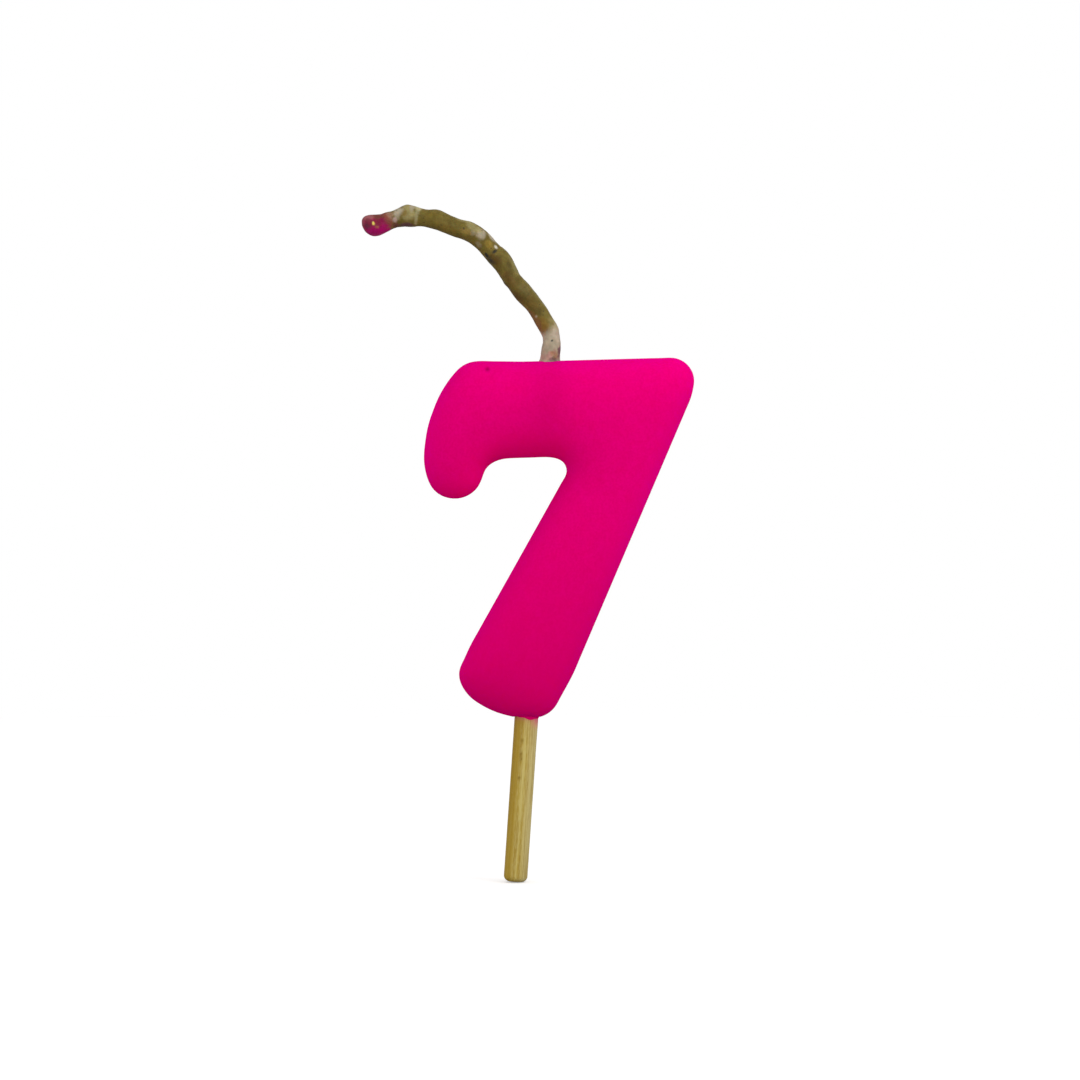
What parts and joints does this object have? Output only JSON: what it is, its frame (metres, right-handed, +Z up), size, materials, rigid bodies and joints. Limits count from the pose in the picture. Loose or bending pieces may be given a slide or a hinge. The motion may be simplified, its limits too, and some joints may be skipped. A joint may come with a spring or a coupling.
{
  "type": "number birthday candle",
  "caption": "Cast wax number candle in the shape of a 7, on a round bamboo stick, with a long bent wax-coated cotton wick.",
  "frame": {"origin": "centre of the bamboo stick's flat bottom end", "axes": "+Z up the upright numeral, +X to the reader's right, -Y out of the numeral's front face; the stick leans 3.87 degrees from Z towards +X as it rises"},
  "size_m": [0.0422, 0.012, 0.0857],
  "materials": {
    "pink_wax": "matte",
    "bamboo": "matte",
    "seal_wax": "satin",
    "wick_cotton": "matte",
    "wick_wax": "satin",
    "foot_wax": "satin",
    "tip_wax": "satin"
  },
  "bodies": {
    "root": {"numeral_body": "pink_wax", "bamboo_stick": "bamboo", "stick_seal_lip": "seal_wax", "wick_core": "wick_cotton", "wick_wax_coat": "wick_wax", "wick_foot_collar": "foot_wax", "wick_tip_bead": "tip_wax"}
  },
  "joints": []
}
